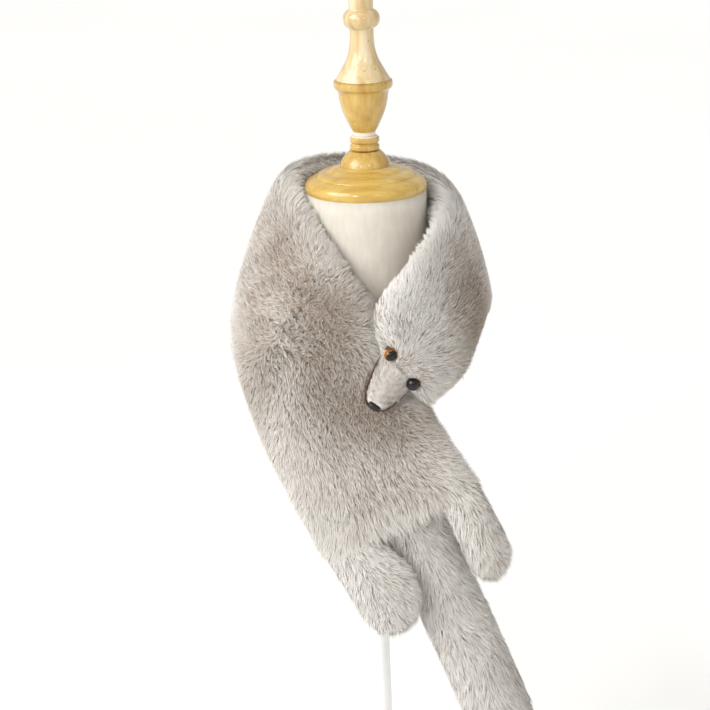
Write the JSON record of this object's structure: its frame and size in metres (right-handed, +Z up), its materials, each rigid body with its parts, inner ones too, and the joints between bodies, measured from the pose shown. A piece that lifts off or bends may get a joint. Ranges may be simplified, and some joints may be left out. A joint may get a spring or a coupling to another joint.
{
  "type": "fur collar wrap on a neck form",
  "caption": "Fur collar wrap with an animal head, paws and a long tail, crossed in front and worn on a fabric neck form with a turned wooden cap and finial, on a pole and round base.",
  "frame": {"origin": "centre of the base's underside, on the floor, on the axis of the neck form", "axes": "+Z up along the pole, +X to the viewer's right and +Y away from the viewer who faces the head"},
  "size_m": [0.3033, 0.26, 0.89],
  "materials": {
    "fur": "soft dense fur, light grey-brown with paler tips",
    "tail_fur": "soft dense fur, light grey with paler tips",
    "flock": "short pale nap",
    "lip_leather": "smooth brown leather edge",
    "eye": "polished amber and black eye",
    "nose": "satin black",
    "linen": "natural cotton cloth stretched over the block",
    "wood": "turned pale wood under clear varnish",
    "white_steel": "white lacquer"
  },
  "bodies": {
    "root": {"wrap_front": "fur", "wrap_left_shoulder": "fur", "wrap_nape_left": "fur", "wrap_nape_right": "fur", "wrap_right_shoulder": "fur", "wrap_right_front": "fur", "head": "fur", "paw_left": "fur", "paw_right": "fur", "tail": "tail_fur", "mask": "flock", "lip": "lip_leather", "eye_left": "eye", "eye_right": "eye", "nose": "nose", "neck_block": "linen", "bottom_plate": "wood", "cap": "wood", "finial_dome": "wood", "finial_beads": "wood", "finial_urn": "wood", "finial_spire": "wood", "pole": "white_steel", "base": "white_steel"}
  },
  "joints": []
}
